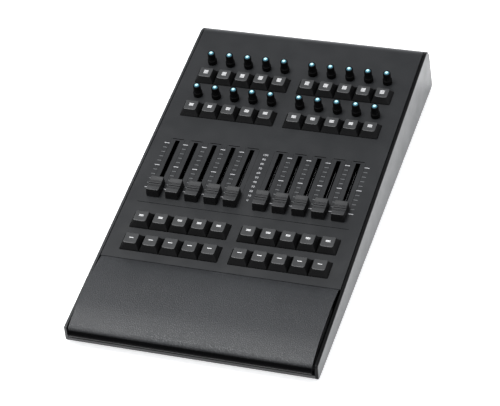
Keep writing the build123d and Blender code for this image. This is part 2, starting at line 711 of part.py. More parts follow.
# ---------------------------------------------------------------- ribbon cables between the boards
board_face = BOARD_TOP - BOARD
main_face = main_board_z + BOARD
header_z = main_face + HEADER[2]


def under_board(v, z):
    """Y and Z of the point at height z straight out from the header under a sloping board."""
    socket_y, socket_z = yz(v, board_face - HEADER[2])
    return (socket_y + (socket_z - z) * tan(radians(TILT)), z)


down_y = CABLE_FROM[1] - CABLE_STEP[0]
short_run = [
    (CABLE_FROM[0], header_z),
    (CABLE_FROM[0], CABLE_HIGH),
    under_board(CABLE_TO[0], CABLE_HIGH),
    yz(CABLE_TO[0], board_face - HEADER[2]),
]
long_run = [
    (CABLE_FROM[1], header_z),
    (CABLE_FROM[1], CABLE_HIGH),
    (down_y, CABLE_HIGH),
    (down_y - CABLE_STEP[1], CABLE_LOW),
    under_board(CABLE_TO[1], CABLE_LOW),
    yz(CABLE_TO[1], board_face - HEADER[2]),
]
with BuildPart() as ribbon_cables:
    for x, start_y, end_v, route in zip(CABLE_X, CABLE_FROM, CABLE_TO, (short_run, long_run)):
        with BuildSketch(side_plane(x - CABLE[0] / 2)):
            with BuildLine():
                FilletPolyline(*route, radius=CABLE_BEND)
            trace(line_width=CABLE[1])
        extrude(amount=CABLE[0])
        with Locations(Location((x, start_y, main_face))):
            Box(*HEADER, align=(Align.CENTER, Align.CENTER, Align.MIN))
        with Locations(on_deck(x, end_v, board_face)):
            Box(*HEADER, align=(Align.CENTER, Align.CENTER, Align.MAX))
ribbon_cables.part.label = "ribbon_cables"
export_step(ribbon_cables.part, "parts/ribbon_cables.step")

# ---------------------------------------------------------------- case screws and feet
with BuildPart() as case_screw:
    with BuildSketch(Plane.XZ):
        with BuildLine():
            Polyline(
                (0, HEX_DEPTH),
                (HEX_RADIUS, HEX_DEPTH),
                (HEX_RADIUS, 0.05),
                (CASE_HEAD, 0.05),
                (SCREW_RADIUS + 0.1, SHEET),
                (SCREW_RADIUS, SHEET),
                (SCREW_RADIUS, CASE_LENGTH - 0.4),
                (SCREW_RADIUS - 0.4, CASE_LENGTH),
                (0, CASE_LENGTH),
                close=True,
            )
        make_face()
    revolve(axis=Axis.Z)
with BuildPart() as case_screws:
    with Locations(*[Location((x, y, UNDERSIDE)) for x, y in case_screw_places]):
        add(case_screw.part)
case_screws.part.label = "case_screws"
export_step(case_screws.part, "parts/case_screws.step")

with BuildPart() as rubber_feet:
    with BuildSketch():
        with Locations(*foot_places):
            Circle(FOOT_RADIUS)
    extrude(amount=FOOT_HEIGHT)
    chamfer(rubber_feet.edges().group_by(Axis.Z)[0], length=0.8)
    with BuildSketch(Plane.XY.offset(UNDERSIDE)):
        with Locations(*foot_places):
            Circle(FOOT_STEM)
    extrude(amount=SHEET)
    with BuildSketch(Plane.XY.offset(FLOOR_TOP)):
        with Locations(*foot_places):
            Circle(FOOT_BARB)
    extrude(amount=1.5)
rubber_feet.part.label = "rubber_feet"
export_step(rubber_feet.part, "parts/rubber_feet.step")
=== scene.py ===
"""Looks of the ten-fader lighting control desk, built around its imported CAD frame.

Most pieces are laid out on the sloping deck in millimetres, in (u, v, h): u across, v up the
slope from the fader's zero mark, h out of the panel's top face. DECK carries them to the
shared frame, which is in metres.
"""

import math

import bmesh
import bpy
from mathutils import Matrix, Vector


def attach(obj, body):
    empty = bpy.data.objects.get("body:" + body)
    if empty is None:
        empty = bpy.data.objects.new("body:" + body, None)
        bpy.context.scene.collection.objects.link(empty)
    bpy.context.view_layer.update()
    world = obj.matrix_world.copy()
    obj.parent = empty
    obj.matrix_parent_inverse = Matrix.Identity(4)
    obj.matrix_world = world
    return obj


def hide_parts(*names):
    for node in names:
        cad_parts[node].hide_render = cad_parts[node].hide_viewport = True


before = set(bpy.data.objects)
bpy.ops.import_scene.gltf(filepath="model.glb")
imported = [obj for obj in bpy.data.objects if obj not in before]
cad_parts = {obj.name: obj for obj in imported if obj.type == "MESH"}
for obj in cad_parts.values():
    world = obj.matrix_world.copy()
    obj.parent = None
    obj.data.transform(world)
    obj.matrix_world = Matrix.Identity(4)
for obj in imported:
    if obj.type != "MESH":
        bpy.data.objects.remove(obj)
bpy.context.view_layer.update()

# ---------------------------------------------------------------- driving dimensions (mm)
TILT = math.radians(5.2)
DECK_ORIGIN = (0.0, -29.9, 36.0)
MM = 0.001
DECK = (
    Matrix.Scale(MM, 4)
    @ Matrix.Translation(DECK_ORIGIN)
    @ Matrix.Rotation(TILT, 4, "X")
)
DECK_UP = (0.0, -math.sin(TILT), math.cos(TILT))
LEAN = math.radians(10.0)                   # the rear face leans forward
REAR_Y = 242.3                              # rear face at the underside, from the deck's origin
UNDERSIDE = 3.0

COLUMNS = 10
COLUMN_PITCH = 18.7
BANK_GAP = 9.7
ENCODER_ROWS = {"rear": 176.4, "front": 129.1}
KEY_ROWS = (155.7, 108.3, -42.4, -70.6)
FADER_REST = -1.6
SLOT_CENTRE = 29.5
SLOT_LENGTH = 68.5
SLOT_WIDTH = 3.0
PANEL = 2.0
SCALE_LENGTH = 60.0
SCALE_OFFSET = 9.4                          # tick column from its slot's centre

KEY_BASE = (18.3, 19.0)
KEY_TOP = (11.8, 12.0)
KEY_HIGH = 6.4
KEY_SKIRT = -3.0
CAP_BASE = (12.8, 20.0)
CAP_TOP = (12.0, 17.8)
CAP_LOW = 0.6
CAP_HIGH = 8.8


def column(i):
    """u of column i, counted from 0 at the left."""
    bank = -1 if i < COLUMNS // 2 else 1
    return (i - (COLUMNS - 1) / 2) * COLUMN_PITCH + bank * BANK_GAP / 2


COLUMN_U = [column(i) for i in range(COLUMNS)]
BANKS = {"left": COLUMN_U[: COLUMNS // 2], "right": COLUMN_U[COLUMNS // 2:]}


def rear_matrix(x, rise):
    """Place on the rear face, local z outwards and local y up the face, in mm."""
    lean_sin, lean_cos = math.sin(LEAN), math.cos(LEAN)
    place = (x, DECK_ORIGIN[1] + REAR_Y - rise * lean_sin, UNDERSIDE + rise * lean_cos)
    axes = Matrix(((-1, 0, 0), (0, -lean_sin, lean_cos), (0, lean_cos, lean_sin)))
    return Matrix.Scale(MM, 4) @ Matrix.Translation(place) @ axes.to_4x4()


# ---------------------------------------------------------------- camera, first of all
CAMERA_AT = (523.14, -1206.83, 1317.19)     # on the deck, in mm
CAMERA_TURN = math.radians(-23.349)
CAMERA_DIP = math.radians(-44.872)
CAMERA_ROLL = math.radians(9.352)
CAMERA_LENS = 145.72
CAMERA_SENSOR = 36.0
CAMERA_REACH = 50.0                         # in metres


def make_camera():
    camera = bpy.data.objects.new("camera", bpy.data.cameras.new("camera"))
    bpy.context.scene.collection.objects.link(camera)
    look = (
        Matrix.Rotation(CAMERA_ROLL, 3, "Z")
        @ Matrix.Rotation(CAMERA_DIP, 3, "X")
        @ Matrix.Rotation(CAMERA_TURN, 3, "Z")
    )
    turn = Matrix.Rotation(TILT, 3, "X") @ look.transposed()
    camera.matrix_world = Matrix.Translation(DECK @ Vector(CAMERA_AT)) @ turn.to_4x4()
    camera.data.lens = CAMERA_LENS
    camera.data.sensor_width = CAMERA_SENSOR
    camera.data.clip_end = CAMERA_REACH
    bpy.context.scene.camera = camera


make_camera()


# ---------------------------------------------------------------- materials (sizes in metres)
PANEL_TONES = ((0.0090, 0.0097, 0.0107), (0.0130, 0.0138, 0.0150))
# painted highlight: paler tone on the panel's rounded rear edge, standing for the bright floor it reflects
REAR_EDGE_HIGHLIGHT_TONE = (0.085, 0.088, 0.092)
# painted sheen: the walls' broad faces, the same anthracite as the panel, made paler for the bright floor
# they reflect
WALL_SHEEN_TONES = ((0.034, 0.0355, 0.037), (0.046, 0.0475, 0.0495))
# painted shade: the right wall's rounded top edge made near black
WALL_EDGE_SHADE_TONES = ((0.004, 0.004, 0.0042), (0.007, 0.007, 0.0073))
LEATHER_TONES = ((0.0120, 0.0134, 0.0158), (0.0165, 0.0183, 0.0210))
# painted shade in the creases between the palm rest's pebbles
CREASE_SHADE_TONE = (0.010, 0.0105, 0.0112)
SHADOW_TONE = (0.0025, 0.0025, 0.0027)      # the palm rest's front roll, turned from the light

COAT_CLOUDS = 0.045
COAT_PATCHES = 0.02
COAT_GRAIN = 0.00045
COAT_DEPTH = 0.000006
RIPPLE = 0.012
RIPPLE_DEPTH = 0.00002
MOULD_CLOUDS = 0.02
MOULD_GRAIN = 0.00035
MOULD_DEPTH = 0.000008
LEATHER_CELL = 0.0015
LEATHER_DEPTH = 0.00013
LEATHER_DRIFT = 0.0007                      # how far the creases wander
ACROSS = (1.0, 0.0, 0.0)
REARWARDS = (0.0, 1.0, 0.0)


class Shader:
    """A node material under construction, with short calls for the nodes it uses."""

    def __init__(self, name, roughness=0.5, metallic=0.0, **sockets):
        self.material = bpy.data.materials.new(name)
        self.material.use_nodes = True
        self.tree = self.material.node_tree
        self.bsdf = self.tree.nodes["Principled BSDF"]
        self.bsdf.inputs["Roughness"].default_value = roughness
        self.bsdf.inputs["Metallic"].default_value = metallic
        for socket, value in sockets.items():
            self.bsdf.inputs[socket.replace("_", " ")].default_value = value
        self.place = self.node("ShaderNodeTexCoord").outputs["Object"]

    def node(self, kind, **settings):
        made = self.tree.nodes.new(kind)
        for setting, value in settings.items():
            setattr(made, setting, value)
        return made

    def link(self, source, target):
        self.tree.links.new(source, target)

    def stretched(self, scale):
        """Object coordinates multiplied by a scale for each axis."""
        mapping = self.node("ShaderNodeMapping")
        mapping.inputs["Scale"].default_value = scale
        self.link(self.place, mapping.inputs["Vector"])
        return mapping.outputs["Vector"]

    def noise(self, size, detail=3.0, rough=0.5, vector=None):
        """Soft noise whose features are about size metres across."""
        made = self.node("ShaderNodeTexNoise")
        made.inputs["Scale"].default_value = 1.0 / size
        made.inputs["Detail"].default_value = detail
        made.inputs["Roughness"].default_value = rough
        self.link(vector or self.place, made.inputs["Vector"])
        return made.outputs["Fac"]

    def cells(self, size, feature="F1", vector=None):
        """Cell pattern whose cells are about size metres across."""
        made = self.node("ShaderNodeTexVoronoi", feature=feature)
        made.inputs["Scale"].default_value = 1.0 / size
        self.link(vector or self.place, made.inputs["Vector"])
        return made.outputs["Distance"]

    def ramp(self, value, low, high, to_low=0.0, to_high=1.0):
        """value mapped from low..high to to_low..to_high, held at the ends."""
        made = self.node("ShaderNodeMapRange")
        numbers = {"From Min": low, "From Max": high, "To Min": to_low, "To Max": to_high}
        for socket, number in numbers.items():
            made.inputs[socket].default_value = number
        self.link(value, made.inputs["Value"])
        return made.outputs["Result"]

    def maths(self, operation, a, b):
        made = self.node("ShaderNodeMath", operation=operation)
        for socket, value in zip(made.inputs, (a, b)):
            if isinstance(value, (int, float)):
                socket.default_value = value
            else:
                self.link(value, socket)
        return made.outputs[0]

    def blend(self, factor, first, second):
        """Colour from first to second; each is a colour or a socket."""
        made = self.node("ShaderNodeMix", data_type="RGBA")
        self.link(factor, made.inputs["Factor"])
        for socket, value in zip((made.inputs[6], made.inputs[7]), (first, second)):
            if isinstance(value, tuple):
                socket.default_value = (*value, 1.0)
            else:
                self.link(value, socket)
        return made.outputs[2]

    def mottle(self, clouds, fleck):
        """Mean of two patterns, for mixing two tones."""
        return self.maths("MULTIPLY", self.maths("ADD", clouds, fleck), 0.5)

    def coat(self, tones, grain):
        """Colour of a sprayed coat: fine flecks in faint clouds."""
        clouds = self.ramp(self.noise(COAT_CLOUDS, 4.0), 0.3, 0.7)
        fleck = self.ramp(self.noise(grain, 2.0), 0.35, 0.65)
        return self.blend(self.mottle(clouds, fleck), *tones)

    def coat_bump(self, grain, depth):
        self.bump((self.noise(grain, 2.0), depth), (self.noise(RIPPLE, 2.0), RIPPLE_DEPTH))

    def colour(self, value):
        self.link(value, self.bsdf.inputs["Base Color"])

    def roughness(self, value):
        self.link(value, self.bsdf.inputs["Roughness"])

    def bump(self, *layers):
        """Each layer is (height socket, depth in metres); the layers add up."""
        total = None
        for height, depth in layers:
            scaled = self.maths("MULTIPLY", height, depth)
            total = scaled if total is None else self.maths("ADD", total, scaled)
        made = self.node("ShaderNodeBump")
        made.inputs["Strength"].default_value = 1.0
        made.inputs["Distance"].default_value = 1.0
        self.link(total, made.inputs["Height"])
        self.link(made.outputs["Normal"], self.bsdf.inputs["Normal"])

    def facing(self, direction):
        """How far the surface faces a fixed direction, from -1 to 1."""
        dot = self.node("ShaderNodeVectorMath", operation="DOT_PRODUCT")
        dot.inputs[1].default_value = direction
        self.link(self.node("ShaderNodeNewGeometry").outputs["Normal"], dot.inputs[0])
        return dot.outputs["Value"]

    def worn_edges(self, width):
        """About 1 along outer edges within width metres, 0 on the faces."""
        bevel = self.node("ShaderNodeBevel", samples=4)
        bevel.inputs["Radius"].default_value = width
        flat = self.node("ShaderNodeNewGeometry").outputs["Normal"]
        dot = self.node("ShaderNodeVectorMath", operation="DOT_PRODUCT")
        self.link(bevel.outputs["Normal"], dot.inputs[0])
        self.link(flat, dot.inputs[1])
        return self.ramp(dot.outputs["Value"], 0.80, 0.97, 1.0, 0.0)


def powder_coat(name, dark, pale, roughness, grain=COAT_GRAIN, depth=COAT_DEPTH, worn=None, **sockets):
    """Fine-grained coat on sheet metal, with faint clouds and, if worn is given, rubbed edges."""
    s = Shader(name, roughness, **sockets)
    colour = s.coat((dark, pale), grain)
    if worn:
        colour = s.blend(s.maths("MULTIPLY", s.worn_edges(0.0006), 0.6), colour, worn)
    s.colour(colour)
    s.roughness(s.ramp(s.noise(COAT_PATCHES, 5.0), 0.3, 0.7, roughness - 0.05, roughness + 0.06))
    s.coat_bump(grain, depth)
    return s.material


def panel_coat(name):
    """Smooth anthracite coat, painted paler along the rounded rear edge as a painted highlight."""
    s = Shader(name, 0.40)
    coat = s.coat(PANEL_TONES, COAT_GRAIN)
    back = s.facing(REARWARDS)
    rear_highlight = s.maths("MULTIPLY", s.ramp(back, 0.0, 0.62), s.ramp(back, 0.72, 0.95, 1.0, 0.0))
    s.colour(s.blend(s.maths("MULTIPLY", rear_highlight, rear_highlight), coat, REAR_EDGE_HIGHLIGHT_TONE))
    s.roughness(s.ramp(s.noise(COAT_PATCHES, 5.0), 0.3, 0.7, 0.36, 0.44))
    s.coat_bump(COAT_GRAIN, COAT_DEPTH)
    return s.material


def moulded(name, dark, pale, roughness, grain=MOULD_GRAIN, depth=MOULD_DEPTH, worn=None, **sockets):
    """Spark-eroded moulded plastic, with rubbed edges if worn is given."""
    s = Shader(name, roughness, **sockets)
    fleck = s.ramp(s.noise(grain, 3.0, 0.6), 0.3, 0.7)
    clouds = s.ramp(s.noise(MOULD_CLOUDS, 3.0), 0.3, 0.7)
    colour = s.blend(s.mottle(clouds, fleck), dark, pale)
    if worn:
        colour = s.blend(s.maths("MULTIPLY", s.worn_edges(0.0004), 0.5), colour, worn)
    s.colour(colour)
    s.roughness(s.ramp(s.noise(0.008, 4.0), 0.3, 0.7, roughness - 0.05, roughness + 0.05))
    s.bump((s.noise(grain, 3.0, 0.6), depth))
    return s.material


def leather_grain(name):
    """Soft-touch moulding: small irregular pebbles with fine creases between them, with painted shade in
    the creases and on the front roll.
    """
    s = Shader(name, 0.42, Specular_IOR_Level=0.5)
    wander = s.node("ShaderNodeVectorMath", operation="ADD")
    drift = s.node("ShaderNodeTexNoise")
    drift.inputs["Scale"].default_value = 900.0
    s.link(s.place, drift.inputs["Vector"])
    small = s.node("ShaderNodeVectorMath", operation="SCALE")
    small.inputs["Scale"].default_value = LEATHER_DRIFT
    s.link(drift.outputs["Color"], small.inputs[0])
    s.link(s.place, wander.inputs[0])
    s.link(small.outputs["Vector"], wander.inputs[1])
    edges = s.cells(LEATHER_CELL, "DISTANCE_TO_EDGE", wander.outputs["Vector"])
    crease = s.ramp(edges, 0.0, 0.22)
    fine = s.noise(MOULD_GRAIN, 3.0, 0.6)
    pebble = s.maths("ADD", s.maths("MULTIPLY", crease, 0.8), s.maths("MULTIPLY", fine, 0.25))
    clouds = s.ramp(s.noise(0.05, 3.0), 0.3, 0.7)
    base = s.blend(clouds, *LEATHER_TONES)
    # painted shade: the front roll, where the surface turns down from deck-up, takes the shadow tone and
    # loses its reflection as black metal
    upper = s.ramp(s.facing(DECK_UP), 0.78, 0.985)
    grain_and_crease_shade = s.blend(s.ramp(crease, 0.0, 0.7), CREASE_SHADE_TONE, base)
    s.colour(s.blend(upper, SHADOW_TONE, grain_and_crease_shade))
    s.link(s.ramp(upper, 0.0, 1.0, 1.0, 0.0), s.bsdf.inputs["Metallic"])
    in_crease, cloudy = s.ramp(crease, 0.0, 1.0, 0.14, 0.0), s.ramp(clouds, 0.0, 1.0, 0.34, 0.40)
    s.roughness(s.maths("ADD", in_crease, cloudy))
    s.bump((pebble, LEATHER_DEPTH), (s.noise(0.009, 2.0), 0.00003))
    return s.material


def ground_steel(name, colour, roughness=0.3, stretch=(60.0, 60.0, 1.0)):
    """Plated or ground metal with fine scratches along one axis."""
    s = Shader(name, roughness, 1.0)
    lines = s.noise(0.01, 4.0, 0.6, s.stretched(stretch))
    dull = tuple(0.72 * c for c in colour)
    s.colour(s.blend(s.ramp(s.noise(0.006, 4.0), 0.35, 0.65), dull, colour))
    s.roughness(s.ramp(lines, 0.3, 0.7, roughness - 0.1, roughness + 0.15))
    s.bump((lines, 0.000008))
    return s.material


def solder_mask(name):
    """Green circuit board with faint copper tracks under the mask."""
    s = Shader(name, 0.28)
    grid = s.cells(0.0035)
    track = s.ramp(s.noise(0.004, 0.0, 0.5, s.stretched((1.0, 8.0, 1.0))), 0.5, 0.53)
    green = s.blend(track, (0.006, 0.045, 0.02), (0.012, 0.085, 0.035))
    s.colour(s.blend(s.ramp(grid, 0.10, 0.13), (0.55, 0.5, 0.36), green))
    s.roughness(s.ramp(s.noise(0.002, 3.0), 0.3, 0.7, 0.22, 0.4))
    s.bump((track, 0.00002))
    return s.material


def side_moulding(name, edge_tones, shaded_edge):
    """Satin wall with painted light: broad faces paler, as painted sheen, and smoother than the top edge,
    which painted shade can make dull black.
    """
    s = Shader(name, 0.34, IOR=1.55)
    broad = s.ramp(s.maths("ABSOLUTE", s.facing(ACROSS), 0.0), 0.80, 0.93)
    fleck = s.ramp(s.noise(MOULD_GRAIN, 3.0, 0.6), 0.3, 0.7)
    clouds = s.ramp(s.noise(MOULD_CLOUDS, 3.0), 0.3, 0.7)
    mixed = s.mottle(clouds, fleck)
    s.colour(s.blend(broad, s.blend(mixed, *edge_tones), s.blend(mixed, *WALL_SHEEN_TONES)))
    # painted shade: the top edge loses its reflection, turned black metal towards the edge
    if shaded_edge:
        s.link(s.ramp(broad, 0.0, 1.0, 0.85, 0.0), s.bsdf.inputs["Metallic"])
    on_edge, cloudy = s.ramp(broad, 0.0, 1.0, 0.12, 0.0), s.ramp(clouds, 0.0, 1.0, 0.30, 0.38)
    s.roughness(s.maths("ADD", on_edge, cloudy))
    s.bump((s.noise(MOULD_GRAIN, 3.0, 0.6), MOULD_DEPTH))
    return s.material


def light_guide(name, core, glow, rim, strength):
    """Frosted light guide lit from inside, brightest at the middle of its domed end."""
    s = Shader(name, 0.3, Emission_Strength=strength, Specular_IOR_Level=0.3)
    up = s.facing(DECK_UP)
    shade = s.blend(s.ramp(up, 0.64, 0.88), rim, glow)
    s.link(s.blend(s.ramp(up, 0.86, 0.965), shade, core), s.bsdf.inputs["Emission Color"])
    frost = s.ramp(s.noise(0.0008, 2.0), 0.3, 0.7)
    s.colour(s.blend(frost, (0.010, 0.030, 0.035), (0.018, 0.045, 0.05)))
    s.bump((s.noise(0.0003, 2.0), 0.000006))
    return s.material


def print_ink(name, pale, dark, roughness=0.5, **sockets):
    """Screen-printed ink, a little uneven in cover."""
    s = Shader(name, roughness, **sockets)
    s.colour(s.blend(s.ramp(s.noise(0.0004, 3.0), 0.35, 0.62), dark, pale))
    s.bump((s.noise(0.0003, 2.0), 0.000004))
    return s.material


def ribbed_cable(name):
    """Grey flat cable, with a ridge for each core."""
    s = Shader(name, 0.4)
    wave = s.node("ShaderNodeTexWave", wave_type="BANDS", bands_direction="X", wave_profile="SIN")
    wave.inputs["Scale"].default_value = 250.0
    s.link(s.place, wave.inputs["Vector"])
    s.colour(s.blend(wave.outputs["Fac"], (0.16, 0.165, 0.17), (0.34, 0.345, 0.35)))
    s.roughness(s.ramp(s.noise(0.003, 3.0), 0.3, 0.7, 0.35, 0.5))
    s.bump((wave.outputs["Fac"], 0.0002))
    return s.material


MATERIALS = {
    "panel": panel_coat("panel_coat"),
    "chassis": powder_coat("chassis_coat", (0.014, 0.014, 0.015), (0.02, 0.02, 0.021), 0.5,
                           grain=0.0006, depth=0.00001),
    # right wall: painted sheen on its faces and painted shade on its top edge; left wall: painted sheen
    # only, its edge in the panel's tones
    "side": side_moulding("side_painted_sheen_and_edge_shade", WALL_EDGE_SHADE_TONES, True),
    "side_far": side_moulding("side_far_painted_sheen", PANEL_TONES, False),
    "palm": leather_grain("palm_soft_touch"),
    "zinc": ground_steel("zinc_plate", (0.62, 0.63, 0.65), 0.38),
    # painted shade: the fader tracks, metal in the real desk, made lightless black for the shade down the
    # slots
    "track": powder_coat("track_black", (0.0006, 0.0006, 0.0006), (0.001, 0.001, 0.001), 0.8,
                         Specular_IOR_Level=0.0),
    "rail": ground_steel("ground_rod", (0.7, 0.7, 0.71), 0.22, stretch=(80.0, 1.0, 80.0)),
    "black": moulded("black_moulding", (0.006, 0.006, 0.0065), (0.010, 0.010, 0.0105), 0.45),
    "board": solder_mask("solder_mask"),
    "screw": ground_steel("screw_zinc", (0.6, 0.6, 0.62), 0.32),
    "black_screw": powder_coat("black_screw", (0.008, 0.008, 0.008), (0.02, 0.02, 0.02), 0.38,
                               worn=(0.2, 0.2, 0.2)),
    "ribbon": ribbed_cable("ribbon_cable"),
    "tinned": ground_steel("tinned_shell", (0.66, 0.66, 0.66), 0.3),
    "gold": ground_steel("gold_contact", (0.83, 0.6, 0.28), 0.2),
    "rubber": moulded("foot_rubber", (0.008, 0.008, 0.008), (0.016, 0.016, 0.016), 0.75,
                      grain=0.0008, depth=0.00003),
    "cap": moulded("fader_cap", (0.020, 0.0205, 0.0212), (0.028, 0.0285, 0.0292), 0.42,
                   worn=(0.06, 0.06, 0.062)),
    # painted shade: the caps' sides and ends, the same plastic as their tops, made near black with little
    # reflection
    "cap_side_painted_shade": moulded("fader_cap_side", (0.0022, 0.0022, 0.0023), (0.0035, 0.0035, 0.0036), 0.6,
                        Specular_IOR_Level=0.12),
    "knob": moulded("knob_black", (0.0010, 0.0010, 0.0011), (0.0018, 0.0018, 0.0019), 0.6,
                    Specular_IOR_Level=0.05),
    "key_top": moulded("key_top", (0.026, 0.0268, 0.0276), (0.035, 0.0358, 0.0366), 0.42),
    # painted shade: the keys' sides and skirts, the same plastic as their tops, made near black with little
    # reflection
    "key_side_painted_shade": moulded("key_side_painted_shade", (0.0022, 0.0022, 0.0023), (0.0035, 0.0035, 0.0036), 0.6,
                        Specular_IOR_Level=0.12),
    "white_ink": print_ink("white_ink", (0.72, 0.72, 0.72), (0.55, 0.55, 0.55)),
    "tick_ink": print_ink("tick_ink", (0.16, 0.165, 0.17), (0.09, 0.093, 0.096)),
    "major_ink": print_ink("major_ink", (0.46, 0.46, 0.47), (0.30, 0.30, 0.31)),
    "line_ink": print_ink("line_ink", (0.003, 0.003, 0.003), (0.002, 0.002, 0.002), 0.7,
                          Specular_IOR_Level=0.0),
    "faint_ink": print_ink("faint_ink", (0.009, 0.009, 0.0095), (0.007, 0.007, 0.0075), 0.6,
                           Specular_IOR_Level=0.25),
    # painted shade: the slot liners are lightless black, with no reflection, for the shade in the slots
    "liner": moulded("slot_liner_painted_shade", (0.0005, 0.0005, 0.0005), (0.0009, 0.0009, 0.0009), 0.8,
                     Specular_IOR_Level=0.0),
    "tip": light_guide("tip_glow", (0.60, 0.95, 1.0), (0.022, 0.15, 0.21), (0.002, 0.012, 0.026), 1.5),
}

NODE_MATERIALS = {
    "base_pan": "chassis", "rear_panel": "chassis", "control_panel": "panel",
    "side_wall_left": "side_far", "side_wall_right": "side",
    # the palm rest's ends take the right wall's material, with its painted sheen and painted edge shade
    "palm_rest": "palm", "palm_rest_ends": "side",
    "fader_tracks": "track", "fader_rails": "rail", "encoder_bodies": "zinc", "key_switches": "black",
    "upper_board": "board", "lower_board": "board", "main_board": "board", "standoffs": "zinc",
    "board_screws": "screw", "ribbon_cables": "ribbon", "network_socket": "tinned",
    "usb_socket": "tinned", "power_inlet": "black", "case_screws": "black_screw", "rubber_feet": "rubber",
}
for node_name, material_name in NODE_MATERIALS.items():
    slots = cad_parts[node_name].data.materials
    slots.clear()
    slots.append(MATERIALS[material_name])


# ---------------------------------------------------------------- mesh helpers
MERGE = 0.0001                              # points closer than this, in mm, are one


def piece(name, bm, body, materials, place=DECK, sharp=35.0, replaces=()):
    """Turns a bmesh in mm into a piece that rides on a body and takes its finish from a slot."""
    bmesh.ops.recalc_face_normals(bm, faces=bm.faces)
    bm.transform(place)
    mesh = bpy.data.meshes.new(name)
    bm.to_mesh(mesh)
    bm.free()
    mesh.shade_smooth()
    mesh.set_sharp_from_angle(angle=math.radians(sharp))
    for material in materials:
        mesh.materials.append(MATERIALS[material])
    made = bpy.data.objects.new(name, mesh)
    bpy.context.scene.collection.objects.link(made)
    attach(made, body)
    if replaces:
        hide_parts(*replaces)


def rounded_outline(width, depth, radius, corner=6, side=4):
    """Points of a rounded rectangle, anticlockwise, with the straight sides divided too."""
    points = []
    half_w, half_d = width / 2 - radius, depth / 2 - radius
    centres = ((half_w, half_d), (-half_w, half_d), (-half_w, -half_d), (half_w, -half_d))
    for k, (cx, cy) in enumerate(centres):
        for step in range(corner + 1):
            angle = math.pi / 2 * (k + step / corner)
            points.append((cx + radius * math.cos(angle), cy + radius * math.sin(angle)))
        nx, ny = centres[(k + 1) % 4]
        end = math.pi / 2 * (k + 1)
        ax, ay = cx + radius * math.cos(end), cy + radius * math.sin(end)
        bx, by = nx + radius * math.cos(end), ny + radius * math.sin(end)
        for step in range(1, side):
            t = step / side
            points.append((ax + (bx - ax) * t, ay + (by - ay) * t))
    return points


def arc(centre, radius, start, end, steps):
    """Points of an arc in its own plane, with the angles in degrees."""
    points = []
    for k in range(steps + 1):
        angle = math.radians(start + (end - start) * k / steps)
        points.append((centre[0] + radius * math.cos(angle), centre[1] + radius * math.sin(angle)))
    return points


def add_rings(bm, rings, capped=True, top_from=None):
    """Joins rings of equal length with quads; from ring top_from on they take the second material."""
    made = [[bm.verts.new(p) for p in ring] for ring in rings]
    count = len(made[0])
    for number, (low, high) in enumerate(zip(made, made[1:])):
        for k in range(count):
            face = bm.faces.new((low[k], low[(k + 1) % count], high[(k + 1) % count], high[k]))
            face.material_index = int(top_from is not None and number >= top_from)
    if capped:
        bm.faces.new(made[0][::-1])
        bm.faces.new(made[-1]).material_index = int(top_from is not None)


def add_loop(bm, rings):
    """Joins rings that come back to the first one, as the wall of a collar does."""
    add_rings(bm, rings + rings[:1], capped=False)
    bmesh.ops.remove_doubles(bm, verts=bm.verts, dist=MERGE)


def add_turned(bm, profile, centre=(0.0, 0.0), steps=32, wobble=None):
    """Turns a list of (radius, height) about an upright axis; wobble changes the radius with angle."""
    rings = []
    for radius, height in profile:
        ring = []
        for k in range(steps):
            angle = 2 * math.pi * k / steps
            r = radius - (wobble(radius, height, k) if wobble else 0.0)
            ring.append((centre[0] + r * math.cos(angle), centre[1] + r * math.sin(angle), height))
        rings.append(ring)
    add_rings(bm, rings)


def add_slab(bm, centre, size, low, high, radius=0.02):
    """Flat rounded slab between two heights."""
    outline = rounded_outline(size[0], size[1], radius, 3, 1)
    add_rings(bm, [[(centre[0] + x, centre[1] + y, h) for x, y in outline] for h in (low, high)])


# ---------------------------------------------------------------- keys
KEY_WALL = 1.2
KEY_CORNER = 1.0
KEY_BORE_CORNER = 0.6
KEY_BORE_MARGIN = 0.6                       # the bore's end is smaller than the top by this
KEY_CEILING = 4.2
KEY_SKIRT_TOP = -0.3
KEY_LIP = 0.25
KEY_FLARE_STEPS = 6
KEY_FLARE_POWER = 0.85
KEY_HEAD_MARGIN = 0.5
KEY_HEAD_CORNER = 1.7
KEY_HEAD_DROP = 0.55
KEY_SHOULDER = 0.45
KEY_SHOULDER_STEPS = 3
KEY_SHOULDER_MARGIN = 0.4
KEY_TOP_CORNER = 1.6
KEY_TOP_RINGS = 5
KEY_TOP_SHIFT = 0.3
KEY_DISH_RADIUS = 45.0
KEY_DISH_DEPTH = 0.4
STEM_RADIUS = 1.9
STEM_END = -10.0
STEM_CHAMFER = 0.3
MARK_WIDTH = 4.3
MARK_HALF = 0.375
MARK_PITCH = 1.28
MARK_SHIFT = 0.7
MARK_STEPS = 8
MARK_PROUD = 0.03
MARK_THICKNESS = 0.08
MARK_COUNT = (4, 3, 2, 1)


def key_top_height(x):
    """Height of the dished key top at x from its middle."""
    return KEY_HIGH - KEY_DISH_DEPTH + KEY_DISH_RADIUS - math.sqrt(KEY_DISH_RADIUS**2 - x * x)


